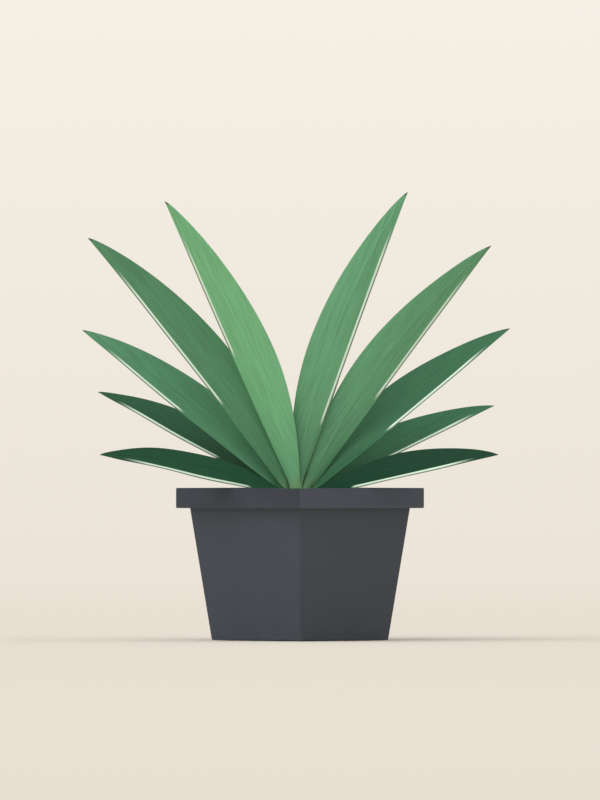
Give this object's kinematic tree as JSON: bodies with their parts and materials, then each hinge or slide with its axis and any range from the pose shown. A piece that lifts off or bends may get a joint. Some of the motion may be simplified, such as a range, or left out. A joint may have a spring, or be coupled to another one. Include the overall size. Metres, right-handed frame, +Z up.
{
  "type": "potted dracaena",
  "caption": "Young dracaena in a square tapered planter: long pointed strap leaves spread from a short cane that grows in potting soil.",
  "frame": {"origin": "middle of the planter's flat underside", "axes": "+Z up along the planter; the planter's corners point along +X, +Y, -X and -Y; the front is -Y"},
  "size_m": [0.309, 0.2764, 0.3224],
  "materials": {
    "charcoal_plastic": "matte",
    "potting_soil": "matte",
    "cane_bark": "matte",
    "young_leaf": "satin",
    "middle_leaf": "satin",
    "old_leaf": "satin",
    "spear_leaf": "satin"
  },
  "bodies": {
    "root": {"planter": "charcoal_plastic", "potting_soil": "potting_soil", "cane_with_roots": "cane_bark", "leaf_left_1": "young_leaf", "leaf_left_2": "middle_leaf", "leaf_left_3": "middle_leaf", "leaf_left_4": "old_leaf", "leaf_left_5": "old_leaf", "leaf_right_1": "young_leaf", "leaf_right_2": "young_leaf", "leaf_right_3": "middle_leaf", "leaf_right_4": "old_leaf", "leaf_right_5": "old_leaf", "leaf_back_1": "middle_leaf", "leaf_back_2": "middle_leaf", "leaf_back_3": "old_leaf", "leaf_back_4": "old_leaf", "leaf_back_5": "old_leaf", "spear_leaf": "spear_leaf"}
  },
  "joints": []
}
